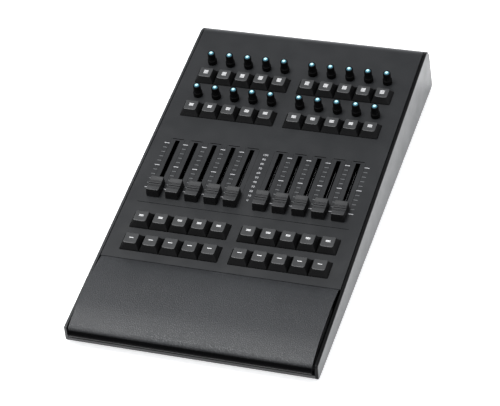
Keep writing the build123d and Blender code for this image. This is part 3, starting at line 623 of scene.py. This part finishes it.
def add_key(bm, u, v):
    """One key: flared skirt, rounded shoulders, dished top, hollow underside and stem."""
    bore = [size - 2 * KEY_WALL for size in KEY_BASE]
    ceiling = [size - KEY_BORE_MARGIN for size in KEY_TOP]
    lip = [size - KEY_LIP for size in KEY_BASE]
    sections = [
        (*ceiling, KEY_BORE_CORNER, KEY_CEILING, KEY_TOP_SHIFT),
        (*bore, KEY_BORE_CORNER, KEY_SKIRT, 0.0),
        (*KEY_BASE, KEY_CORNER, KEY_SKIRT, 0.0),
        (*KEY_BASE, KEY_CORNER, KEY_SKIRT_TOP, 0.0),
        (*lip, KEY_CORNER, KEY_LIP, 0.0),
    ]
    for step in range(1, KEY_FLARE_STEPS + 1):
        t = step / KEY_FLARE_STEPS
        ease = t**KEY_FLARE_POWER
        sections.append((
            KEY_BASE[0] + (KEY_TOP[0] + KEY_HEAD_MARGIN - KEY_BASE[0]) * ease,
            KEY_BASE[1] + (KEY_TOP[1] + KEY_HEAD_MARGIN - KEY_BASE[1]) * ease,
            KEY_CORNER + (KEY_HEAD_CORNER - KEY_CORNER) * t,
            KEY_LIP + (KEY_HIGH - KEY_HEAD_DROP - KEY_LIP) * t,
            KEY_TOP_SHIFT * t,
        ))
    rings = []
    for width, depth, radius, height, shift in sections:
        outline = rounded_outline(width, depth, radius)
        rings.append([(u + x, v + y + shift, height) for x, y in outline])

    def shoulder_outline(inset):
        width, depth = [size + KEY_SHOULDER_MARGIN - 2 * inset for size in KEY_TOP]
        return rounded_outline(width, depth, KEY_TOP_CORNER - inset)

    top_from = len(rings)
    for step in range(1, KEY_SHOULDER_STEPS + 1):
        turn = math.pi / 2 * step / KEY_SHOULDER_STEPS
        drop = KEY_SHOULDER * (1 - math.sin(turn))
        rings.append([
            (u + x, v + y + KEY_TOP_SHIFT, key_top_height(x) - drop)
            for x, y in shoulder_outline(KEY_SHOULDER * (1 - math.cos(turn)))
        ])
    inner = shoulder_outline(KEY_SHOULDER)
    for step in range(1, KEY_TOP_RINGS + 1):
        shrink = 1 - step / (KEY_TOP_RINGS + 0.5)
        rings.append([
            (u + x * shrink, v + y * shrink + KEY_TOP_SHIFT, key_top_height(x * shrink)) for x, y in inner
        ])
    add_rings(bm, rings, top_from=top_from)
    stem = [(STEM_RADIUS, KEY_CEILING + 0.2), (STEM_RADIUS, STEM_END + STEM_CHAMFER)]
    stem.append((STEM_RADIUS - STEM_CHAMFER, STEM_END))
    add_turned(bm, stem, (u, v), 20)


def add_key_marks(bm, u, v, count):
    """A stack of short dashes, sunk a little into the dished top."""
    middle = v + KEY_TOP_SHIFT + MARK_SHIFT
    for k in range(count):
        y = middle + (k - (count - 1) / 2) * MARK_PITCH
        rows = []
        for step in range(MARK_STEPS + 1):
            x = (step / MARK_STEPS - 0.5) * MARK_WIDTH
            top = key_top_height(x) + MARK_PROUD
            low = top - MARK_THICKNESS
            rows.append([
                (u + x, y - MARK_HALF, low), (u + x, y + MARK_HALF, low),
                (u + x, y + MARK_HALF, top), (u + x, y - MARK_HALF, top),
            ])
        add_rings(bm, rows)


for row, v in enumerate(KEY_ROWS, start=1):
    for side, bank in BANKS.items():
        body = f"key_bank_{row}_{side}"
        caps = bmesh.new()
        marks = bmesh.new()
        for u in bank:
            add_key(caps, u, v)
            add_key_marks(marks, u, v, MARK_COUNT[row - 1])
        # the key sides take the painted-shade material, the tops their own tone
        piece(f"keys_{row}_{side}", caps, body, ["key_side_painted_shade", "key_top"], replaces=[body])
        piece(f"key_marks_{row}_{side}", marks, body, ["white_ink"])


# ---------------------------------------------------------------- faders
CAP_DISH_RADIUS = 58.0
CAP_DISH_DEPTH = 0.75
CAP_CORNER = 0.9
CAP_CORNER_LEAN = 0.35
CAP_SHOULDER = 0.5
CAP_SIDE_ROUND = 0.45
CAP_OWN_TONE_BAND = 2.2                         # how far down the top keeps its own paler tone; below it the sides take painted shade
CAP_OWN_TONE_TURN = math.radians(62)
GROOVE_HALF = 0.5
GROOVE_DEPTH = 0.75
LINES = (2.2, 3.4)                          # fine grooves, towards both ends
LINE_HALF = 0.22
LINE_DEPTH = 0.4
GROOVE_EDGE = 0.02                          # run of a groove's steep wall, to each side
CARRIAGE_H = -8.6
CARRIAGE = (7.0, 10.0, 5.0)
CARRIAGE_CHAMFER = 0.4
CHANNEL_RADIUS = 1.06
CHANNEL_STEPS = 8
RAIL_SPACING = 4.4
LEVER = (1.2, 5.0)
LEVER_CORNER = 0.35
LEVER_FOOT = CARRIAGE_H + 1.0
LEVER_SHOULDER = 4.6
LEVER_HEAD = 4.95
LEVER_HEAD_INSET = 0.18


def cap_height(y):
    """Top of the fader cap at y along its length, with its grooves and sloping ends."""
    dish = CAP_HIGH - CAP_DISH_DEPTH + CAP_DISH_RADIUS - math.sqrt(CAP_DISH_RADIUS**2 - y * y)
    if abs(y) < GROOVE_HALF:
        dish -= GROOVE_DEPTH
    if any(abs(abs(y) - line) < LINE_HALF for line in LINES):
        dish -= LINE_DEPTH
    reach = CAP_TOP[1] / 2
    if abs(y) > reach - CAP_SHOULDER:
        slope = (CAP_HIGH - CAP_LOW) / (CAP_BASE[1] / 2 - reach)
        dish = min(dish, CAP_HIGH - slope * max(abs(y) - reach, 0.0))
        t = (abs(y) - reach + CAP_SHOULDER) / CAP_SHOULDER
        if t < 1:
            dish -= CAP_SHOULDER * (1 - math.sqrt(1 - t * t))
        else:
            dish = min(dish, CAP_HIGH - CAP_SHOULDER - slope * (abs(y) - reach))
    return dish


def cap_stations():
    """Places along the cap where its section is taken, close together at each edge."""
    reach = CAP_TOP[1] / 2
    places = [0.0, GROOVE_HALF - GROOVE_EDGE, GROOVE_HALF + GROOVE_EDGE, 1.2]
    outer, inner = LINE_HALF + GROOVE_EDGE, LINE_HALF - GROOVE_EDGE
    for line in LINES:
        places += [line - outer, line - inner, line, line + inner, line + outer]
    places += [5.0, 6.5, 7.8]
    places += [reach - CAP_SHOULDER * (1 - t) for t in (0.0, 0.35, 0.65, 0.85, 0.97)]
    places += [reach + (CAP_BASE[1] / 2 - reach) * t for t in (0.03, 0.25, 0.5, 0.75, 0.97, 1.0)]
    return [-p for p in reversed(places[1:])] + places


def add_cap(bm, u):
    """Fader cap as sections along its length; tops of the sections take the paler material, the cap's own
    tone, and the rest takes painted shade.
    """
    rings = []
    for y in cap_stations():
        top = max(cap_height(y), CAP_LOW + 0.15)
        share = (top - CAP_LOW) / (CAP_HIGH - CAP_LOW)
        low_half = CAP_BASE[0] / 2
        high_half = low_half + (CAP_TOP[0] / 2 - low_half) * share
        over = abs(y) - (CAP_BASE[1] / 2 - CAP_CORNER)
        pull = CAP_CORNER - math.sqrt(max(CAP_CORNER**2 - max(over, 0.0) ** 2, 0.0))
        top_over = abs(y) - (CAP_TOP[1] / 2 - CAP_CORNER)
        if top_over > 0:
            pull = max(pull, CAP_CORNER_LEAN * min(top_over, CAP_CORNER))
        soft = min(CAP_SIDE_ROUND, (top - CAP_LOW) * 0.4)
        half = [
            (low_half - pull, CAP_LOW),
            (low_half - pull, CAP_LOW + 0.05),
            (high_half - pull, top - soft),
        ]
        for step in (1, 2, 3):
            turn = math.pi / 2 * step / 3
            half.append((high_half - pull - soft * (1 - math.cos(turn)), top - soft * (1 - math.sin(turn))))
        section = half + [(-x, h) for x, h in reversed(half)]
        rings.append([(u + x, FADER_REST + y, h) for x, h in section])
    add_rings(bm, rings)
    bm.normal_update()
    for face in bm.faces:
        upward = abs(face.normal.z) > math.cos(CAP_OWN_TONE_TURN)
        if upward and face.calc_center_median().z > CAP_HIGH - CAP_OWN_TONE_BAND:
            face.material_index = 1


def add_lever(bm, u):
    """Flat sheet lever with a rounded head."""
    outline = rounded_outline(LEVER[0], LEVER[1], LEVER_CORNER, 4, 1)
    rings = []
    for inset, height in ((0.0, LEVER_FOOT), (0.0, LEVER_SHOULDER), (LEVER_HEAD_INSET, LEVER_HEAD)):
        scale_x = 1 - 2 * inset / LEVER[0]
        scale_y = 1 - 2 * inset / LEVER[1]
        rings.append([(u + x * scale_x, FADER_REST + y * scale_y, height) for x, y in outline])
    add_rings(bm, rings)


def add_carriage(bm, u):
    """Sliding block whose two channels ride on the rails."""
    half_w, half_h = CARRIAGE[0] / 2, CARRIAGE[2] / 2
    cut_w, cut_h = half_w - CARRIAGE_CHAMFER, half_h - CARRIAGE_CHAMFER
    outline = [(-half_w, -half_h), (-half_w, cut_h), (-cut_w, half_h)]
    outline += [(cut_w, half_h), (half_w, cut_h), (half_w, -half_h)]
    for side in (1, -1):
        centre = side * RAIL_SPACING / 2
        outline.append((centre + CHANNEL_RADIUS, -half_h))
        outline += arc((centre, 0.0), CHANNEL_RADIUS, 0, 180, CHANNEL_STEPS)
        outline.append((centre - CHANNEL_RADIUS, -half_h))
    rings = []
    for y in (-CARRIAGE[1] / 2, CARRIAGE[1] / 2):
        rings.append([(u + x, FADER_REST + y, CARRIAGE_H + h) for x, h in outline])
    add_rings(bm, rings)


for i, u in enumerate(COLUMN_U, start=1):
    body = f"fader_{i:02d}"
    cap = bmesh.new()
    add_cap(cap, u)
    piece(f"fader_cap_{i:02d}", cap, body, ["cap_side_painted_shade", "cap"], sharp=28.0, replaces=[body])
    lever = bmesh.new()
    add_lever(lever, u)
    piece(f"fader_lever_{i:02d}", lever, body, ["zinc"])
    carriage = bmesh.new()
    add_carriage(carriage, u)
    piece(f"fader_carriage_{i:02d}", carriage, body, ["black"])


# ---------------------------------------------------------------- encoders
SKIRT_RADIUS = 4.55
SKIRT_LOW = 0.4
SKIRT_HIGH = 4.95
SKIRT_EDGE = 0.35
SKIRT_SHOULDER = 0.45
STALK_RADIUS = 3.7
STALK_FILLET = 0.35
KNOB_HIGH = 13.0
KNOB_EDGE = 0.6
TIP_RADIUS = 2.7
TIP_HIGH = 14.0
TIP_DOME = 1.4
TIP_SEAT = 0.6                              # the guide stands this far above the shaft's bore
SHAFT_RADIUS = 3.0
SHAFT_END = -12.4
SHAFT_CHAMFER = 0.3
SHAFT_GAP = 0.1
BORE_TOP = 9.0
BORE_GAP = 0.02
FLUTES = 24
FLUTE_DEPTH = 0.16
FLUTE_LOW = 5.8
FLUTE_HIGH = KNOB_HIGH - 1.2
FLUTE_RUN = 0.05                            # a flute's ends fade over this, to each side


def flutes(radius, height, k):
    """Depth of the grip flutes at step k round the knob."""
    if abs(radius - STALK_RADIUS) < 0.01 and FLUTE_LOW < height < FLUTE_HIGH:
        return FLUTE_DEPTH * (0.0, 0.5, 1.0, 0.5)[k % 4]
    return 0.0


def knob_profile():
    bore = SHAFT_RADIUS + BORE_GAP
    foot = SKIRT_RADIUS - SKIRT_EDGE
    profile = [(bore, BORE_TOP), (bore, SKIRT_LOW), (foot, SKIRT_LOW)]
    profile += arc((foot, SKIRT_LOW + SKIRT_EDGE), SKIRT_EDGE, -90, 0, 3)[1:]
    shoulder = (SKIRT_RADIUS - SKIRT_SHOULDER, SKIRT_HIGH - SKIRT_SHOULDER)
    profile += arc(shoulder, SKIRT_SHOULDER, 0, 90, 4)
    profile += arc((STALK_RADIUS + STALK_FILLET, SKIRT_HIGH + STALK_FILLET), STALK_FILLET, 270, 180, 3)
    for height in (FLUTE_LOW - FLUTE_RUN, FLUTE_LOW + FLUTE_RUN, FLUTE_HIGH - FLUTE_RUN):
        profile.append((STALK_RADIUS, height))
    profile += arc((STALK_RADIUS - KNOB_EDGE, KNOB_HIGH - KNOB_EDGE), KNOB_EDGE, 0, 90, 4)
    profile += [(TIP_RADIUS + 0.25, KNOB_HIGH), (TIP_RADIUS + 0.06, KNOB_HIGH - 0.2)]
    profile.append((TIP_RADIUS + 0.03, BORE_TOP + TIP_SEAT))
    return profile


def tip_profile():
    radius = (TIP_RADIUS**2 + TIP_DOME**2) / (2 * TIP_DOME)
    spread = math.degrees(math.asin(TIP_RADIUS / radius))
    dome = arc((0.0, TIP_HIGH - radius), radius, 90 - spread, 88.5, 7)
    foot = BORE_TOP + TIP_SEAT + 0.1
    return [(TIP_RADIUS, foot), (TIP_RADIUS, TIP_HIGH - TIP_DOME - 0.05)] + dome


def shaft_profile():
    thin = SHAFT_RADIUS - SHAFT_CHAMFER
    high = BORE_TOP - SHAFT_GAP
    profile = [(thin, SHAFT_END), (SHAFT_RADIUS, SHAFT_END + SHAFT_CHAMFER)]
    return profile + [(SHAFT_RADIUS, high - SHAFT_CHAMFER), (thin, high)]


for row, v in ENCODER_ROWS.items():
    for i, u in enumerate(COLUMN_U, start=1):
        body = f"encoder_{row}_{i:02d}"
        knob = bmesh.new()
        add_turned(knob, knob_profile(), (u, v), 4 * FLUTES, wobble=flutes)
        piece(f"knob_{row}_{i:02d}", knob, body, ["knob"], replaces=[body])
        tip = bmesh.new()
        add_turned(tip, tip_profile(), (u, v))
        piece(f"knob_tip_{row}_{i:02d}", tip, body, ["tip"])
        shaft = bmesh.new()
        add_turned(shaft, shaft_profile(), (u, v))
        piece(f"encoder_shaft_{row}_{i:02d}", shaft, body, ["zinc"])


# ---------------------------------------------------------------- printing on the panel
INK_LOW = -0.02
INK_HIGH = 0.03
INK_CORNER = 0.1
SCALE_STEPS = 10
MAJOR_EVERY = 5
TICK = (3.8, 0.6)
MAJOR_TICK = (4.8, 0.8)
NUMERAL_HEIGHT = 2.5
NUMERAL_SHARE = 0.72                        # height of a numeral in its letter size
NUMERAL_WEIGHT = 0.03
FADER_LINE = -19.0
FADER_LINE_FILL = (203.1, 0.44)
FILL_LOW = -0.31
FILL_HIGH = -0.08
FRAME_TOP = 66.6
FRAME_WIDTH = 13.6
FRAME_MARGIN = 2.0
SIDE_LINE = 0.4
HEAD_LINE = (11.2, 0.8)
LINER_WIDTH = 4.4
LINER_OPENING = 2.7
LINER_FLANGE = 0.06
LINER_SLACK = 0.02
LINER_END = 0.3


def print_scales():
    minor = bmesh.new()
    major = bmesh.new()
    for i, u in enumerate(COLUMN_U):
        side = -1 if i < COLUMNS // 2 else 1
        for step in range(SCALE_STEPS + 1):
            place = (u + side * SCALE_OFFSET, SCALE_LENGTH * step / SCALE_STEPS)
            bm, size = (minor, TICK) if step % MAJOR_EVERY else (major, MAJOR_TICK)
            add_slab(bm, place, size, INK_LOW, INK_HIGH, INK_CORNER)
    piece("scale_ticks", minor, "desk", ["tick_ink"])
    piece("scale_major_ticks", major, "desk", ["major_ink"])


def print_numerals():
    """Plain numbers from 0 to 100 up the middle of the panel."""
    joined = bmesh.new()
    for step in range(SCALE_STEPS + 1):
        text = bpy.data.curves.new("numeral", "FONT")
        text.body = str(100 * step // SCALE_STEPS)
        text.size = NUMERAL_HEIGHT / NUMERAL_SHARE
        text.align_x = "CENTER"
        text.align_y = "CENTER"
        text.extrude = (INK_HIGH - INK_LOW) / 2
        text.resolution_u = 4
        text.offset = NUMERAL_WEIGHT
        holder = bpy.data.objects.new("numeral", text)
        mesh = bpy.data.meshes.new_from_object(holder)
        place = (0.0, SCALE_LENGTH * step / SCALE_STEPS, (INK_HIGH + INK_LOW) / 2)
        mesh.transform(Matrix.Translation(place))
        joined.from_mesh(mesh)
        bpy.data.objects.remove(holder)
        bpy.data.meshes.remove(mesh)
    piece("scale_numerals", joined, "desk", ["major_ink"])


def print_slot_frames():
    """A dark line across the head of each slot, and faint ones down both sides of it."""
    heads = bmesh.new()
    sides = bmesh.new()
    low = SLOT_CENTRE - SLOT_LENGTH / 2 - FRAME_MARGIN
    middle = (FRAME_TOP + low) / 2
    line = (SIDE_LINE, FRAME_TOP - low)
    for u in COLUMN_U:
        add_slab(heads, (u, FRAME_TOP), HEAD_LINE, INK_LOW, INK_HIGH, INK_CORNER)
        for side in (-1, 1):
            add_slab(sides, (u + side * FRAME_WIDTH / 2, middle), line, INK_LOW, INK_HIGH)
    piece("slot_head_lines", heads, "desk", ["line_ink"])
    piece("slot_side_lines", sides, "desk", ["faint_ink"])


def fill_fader_line():
    """Black fill at the bottom of the engraved line under the faders."""
    fill = bmesh.new()
    add_slab(fill, (0.0, FADER_LINE), FADER_LINE_FILL, FILL_LOW, FILL_HIGH)
    piece("fader_line_fill", fill, "desk", ["line_ink"])


def line_slots():
    """Liner in each slot, with a thin flange on the panel, made lightless black as painted shade for the
    dark slot.
    """
    liners = bmesh.new()
    reach = SLOT_LENGTH + LINER_WIDTH - LINER_OPENING - LINER_END
    inner = rounded_outline(LINER_OPENING, SLOT_LENGTH - LINER_END, 0.5, 4, 1)
    wall = rounded_outline(SLOT_WIDTH - LINER_SLACK, SLOT_LENGTH - LINER_SLACK, 0.6, 4, 1)
    flange = rounded_outline(LINER_WIDTH, reach, 0.7, 4, 1)
    section = (
        (inner, -PANEL), (inner, LINER_FLANGE), (flange, LINER_FLANGE),
        (flange, 0.0), (wall, 0.0), (wall, -PANEL),
    )
    for u in COLUMN_U:
        add_loop(liners, [[(u + x, SLOT_CENTRE + y, h) for x, y in outline] for outline, h in section])
    piece("slot_liners", liners, "desk", ["liner"])


print_scales()
print_numerals()
print_slot_frames()
fill_fader_line()
line_slots()


# ---------------------------------------------------------------- rear socket details
# Sections are in (height up the face, depth) or (radius, depth), in mm.
SOCKET_RISE = 20.0
NETWORK_X = 44.0
NETWORK_CONTACTS = 8
NETWORK_PITCH = 1.02
NETWORK_SPRING = ((4.7, -13.6), (4.7, -4.0), (3.4, -2.6), (1.6, -9.5), (1.2, -10.4))
USB_X = 12.0
USB_CONTACT = (1.25, 1.68)                  # one in each corner of the plug's core
USB_BLADE = ((-8.8, 0.5), (-1.6, 0.5), (-1.0, 0.35))
INLET_X = -20.0
INLET_RING = (
    (3.22, 0.42), (3.22, -6.0), (3.05, -6.0), (3.05, 0.3), (3.15, 0.5), (4.2, 0.5), (4.4, 0.42),
)
INLET_PIN = ((1.04, -9.9), (1.04, -0.9), (0.85, -0.45), (0.4, -0.2))
INLET_STEPS = 40


def network_contacts():
    bm = bmesh.new()
    for k in range(NETWORK_CONTACTS):
        x = (k - (NETWORK_CONTACTS - 1) / 2) * NETWORK_PITCH
        low, high = x - 0.2, x + 0.2
        add_rings(bm, [
            [(low, y, z), (high, y, z), (high, y - 0.25, z - 0.1), (low, y - 0.25, z - 0.1)]
            for y, z in NETWORK_SPRING
        ])
    piece("network_contacts", bm, "desk", ["gold"], rear_matrix(NETWORK_X, SOCKET_RISE))


def usb_contacts():
    bm = bmesh.new()
    for x in (-USB_CONTACT[0], USB_CONTACT[0]):
        for side in (-1, 1):
            y = side * USB_CONTACT[1]
            low, high = sorted((y - side * 0.1, y + side * 0.08))
            add_rings(bm, [
                [(x - half, low, z), (x + half, low, z), (x + half, high, z), (x - half, high, z)]
                for z, half in USB_BLADE
            ])
    piece("usb_contacts", bm, "desk", ["gold"], rear_matrix(USB_X, SOCKET_RISE))


def inlet_collar():
    """Turned metal ring and centre pin of the power inlet."""
    bm = bmesh.new()
    turns = [2 * math.pi * k / INLET_STEPS for k in range(INLET_STEPS)]
    add_loop(bm, [[(r * math.cos(a), r * math.sin(a), h) for a in turns] for r, h in INLET_RING])
    piece("inlet_collar", bm, "desk", ["tinned"], rear_matrix(INLET_X, SOCKET_RISE))
    pin = bmesh.new()
    add_turned(pin, INLET_PIN, steps=24)
    piece("inlet_pin", pin, "desk", ["gold"], rear_matrix(INLET_X, SOCKET_RISE))


network_contacts()
usb_contacts()
inlet_collar()


# ---------------------------------------------------------------- floor and lights
FLOOR_GLOW = 0.55                           # the pale table is lit from below, as for a cut-out
FLOOR_REACH = 6.0
FLOOR_TONES = ((0.86, 0.86, 0.86), (0.89, 0.89, 0.89))
SOFTBOX_AT = Vector((-0.48, -0.2, 1.7))
SOFTBOX_AIM = Vector((0.0, -0.15, 0.0))
SOFTBOX_SIZE = (0.8, 0.6)
SOFTBOX_POWER = 27.0
DIM_SIDE = (-0.12, 0.59, 0.80)              # direction of the dimmer part of the studio
DIM, BRIGHT = 0.255, 1.15
DIM_FROM, DIM_FULL = 0.72, 0.99             # facing at which the dimming starts and is complete
STUDIO_TONE = (0.965, 0.985, 1.02, 1.0)


def make_floor():
    bm = bmesh.new()
    corners = [(x * FLOOR_REACH, y * FLOOR_REACH, 0.0) for x, y in ((-1, -1), (1, -1), (1, 1), (-1, 1))]
    bm.faces.new([bm.verts.new(corner) for corner in corners])
    mesh = bpy.data.meshes.new("floor")
    bm.to_mesh(mesh)
    bm.free()
    s = Shader("floor_paper", 0.7)
    s.colour(s.blend(s.ramp(s.noise(0.6, 2.0), 0.3, 0.7), *FLOOR_TONES))
    s.bsdf.inputs["Emission Color"].default_value = (1.0, 1.0, 1.0, 1.0)
    s.bsdf.inputs["Emission Strength"].default_value = FLOOR_GLOW
    s.bump((s.noise(0.002, 2.0), 0.00002))
    mesh.materials.append(s.material)
    floor = bpy.data.objects.new("floor", mesh)
    bpy.context.scene.collection.objects.link(floor)


def make_softbox():
    data = bpy.data.lights.new("top_softbox", "AREA")
    data.shape = "RECTANGLE"
    data.size, data.size_y = SOFTBOX_SIZE
    data.energy = SOFTBOX_POWER
    light = bpy.data.objects.new("top_softbox", data)
    bpy.context.scene.collection.objects.link(light)
    light.location = SOFTBOX_AT
    light.rotation_mode = "QUATERNION"
    light.rotation_quaternion = (SOFTBOX_AIM - SOFTBOX_AT).to_track_quat("-Z", "Y")


def make_world():
    """Soft studio surroundings, dimmer high up behind the desk than elsewhere."""
    world = bpy.data.worlds.new("studio")
    bpy.context.scene.world = world
    world.use_nodes = True
    tree = world.node_tree
    sky = tree.nodes["Background"]
    where = tree.nodes.new("ShaderNodeTexCoord")
    dot = tree.nodes.new("ShaderNodeVectorMath")
    dot.operation = "DOT_PRODUCT"
    dot.inputs[1].default_value = DIM_SIDE
    fade = tree.nodes.new("ShaderNodeMapRange")
    fade.interpolation_type = "SMOOTHSTEP"
    numbers = {"From Min": DIM_FROM, "From Max": DIM_FULL, "To Min": BRIGHT, "To Max": DIM}
    for socket, number in numbers.items():
        fade.inputs[socket].default_value = number
    tree.links.new(where.outputs["Generated"], dot.inputs[0])
    tree.links.new(dot.outputs["Value"], fade.inputs["Value"])
    tree.links.new(fade.outputs["Result"], sky.inputs["Strength"])
    sky.inputs["Color"].default_value = STUDIO_TONE


make_floor()
make_world()
make_softbox()
bpy.context.scene.view_settings.view_transform = "Standard"
